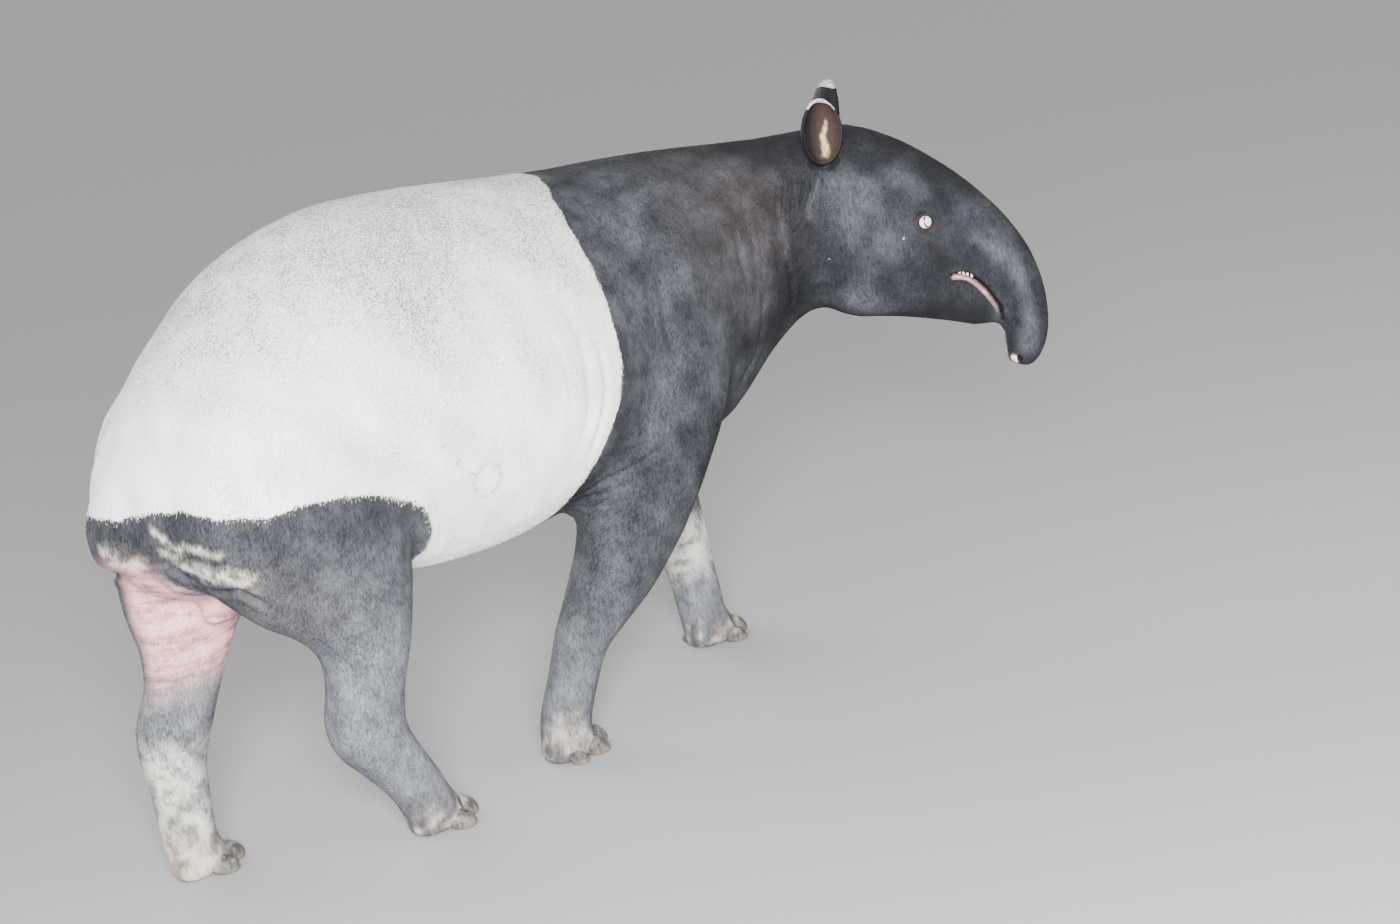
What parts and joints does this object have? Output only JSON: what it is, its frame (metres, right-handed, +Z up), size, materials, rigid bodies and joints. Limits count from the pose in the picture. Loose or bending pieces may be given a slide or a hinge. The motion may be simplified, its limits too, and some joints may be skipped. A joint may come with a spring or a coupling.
{
  "type": "malayan tapir",
  "caption": "Life-size still model of an adult Malayan tapir walking with its head turned to the right, black with a white saddle, short trunk-like snout and hooved toes.",
  "frame": {"origin": "centre of the box round the whole animal, at floor level", "axes": "+X the way it walks, +Y its left, +Z up"},
  "size_m": [1.8098, 0.637, 1.0231],
  "materials": {
    "dark_hide": "short flat hair, soft sheen",
    "white_saddle": "short flat hair, matt",
    "eye": "wet gloss",
    "horn": "worn horn"
  },
  "bodies": {
    "root": {"torso": "white_saddle", "neck": "dark_hide", "head": "dark_hide", "proboscis": "dark_hide", "tail": "dark_hide", "foreleg_left": "dark_hide", "foreleg_right": "dark_hide", "hindleg_left": "dark_hide", "hindleg_right": "dark_hide", "ear_left": "dark_hide", "ear_right": "dark_hide", "eye_left": "eye", "eye_right": "eye", "hoof_fore_left_inner": "horn", "hoof_fore_left_middle": "horn", "hoof_fore_left_outer": "horn", "hoof_fore_left_little": "horn", "hoof_fore_right_inner": "horn", "hoof_fore_right_middle": "horn", "hoof_fore_right_outer": "horn", "hoof_fore_right_little": "horn", "hoof_hind_left_inner": "horn", "hoof_hind_left_middle": "horn", "hoof_hind_left_outer": "horn", "hoof_hind_right_inner": "horn", "hoof_hind_right_middle": "horn", "hoof_hind_right_outer": "horn"}
  },
  "joints": []
}
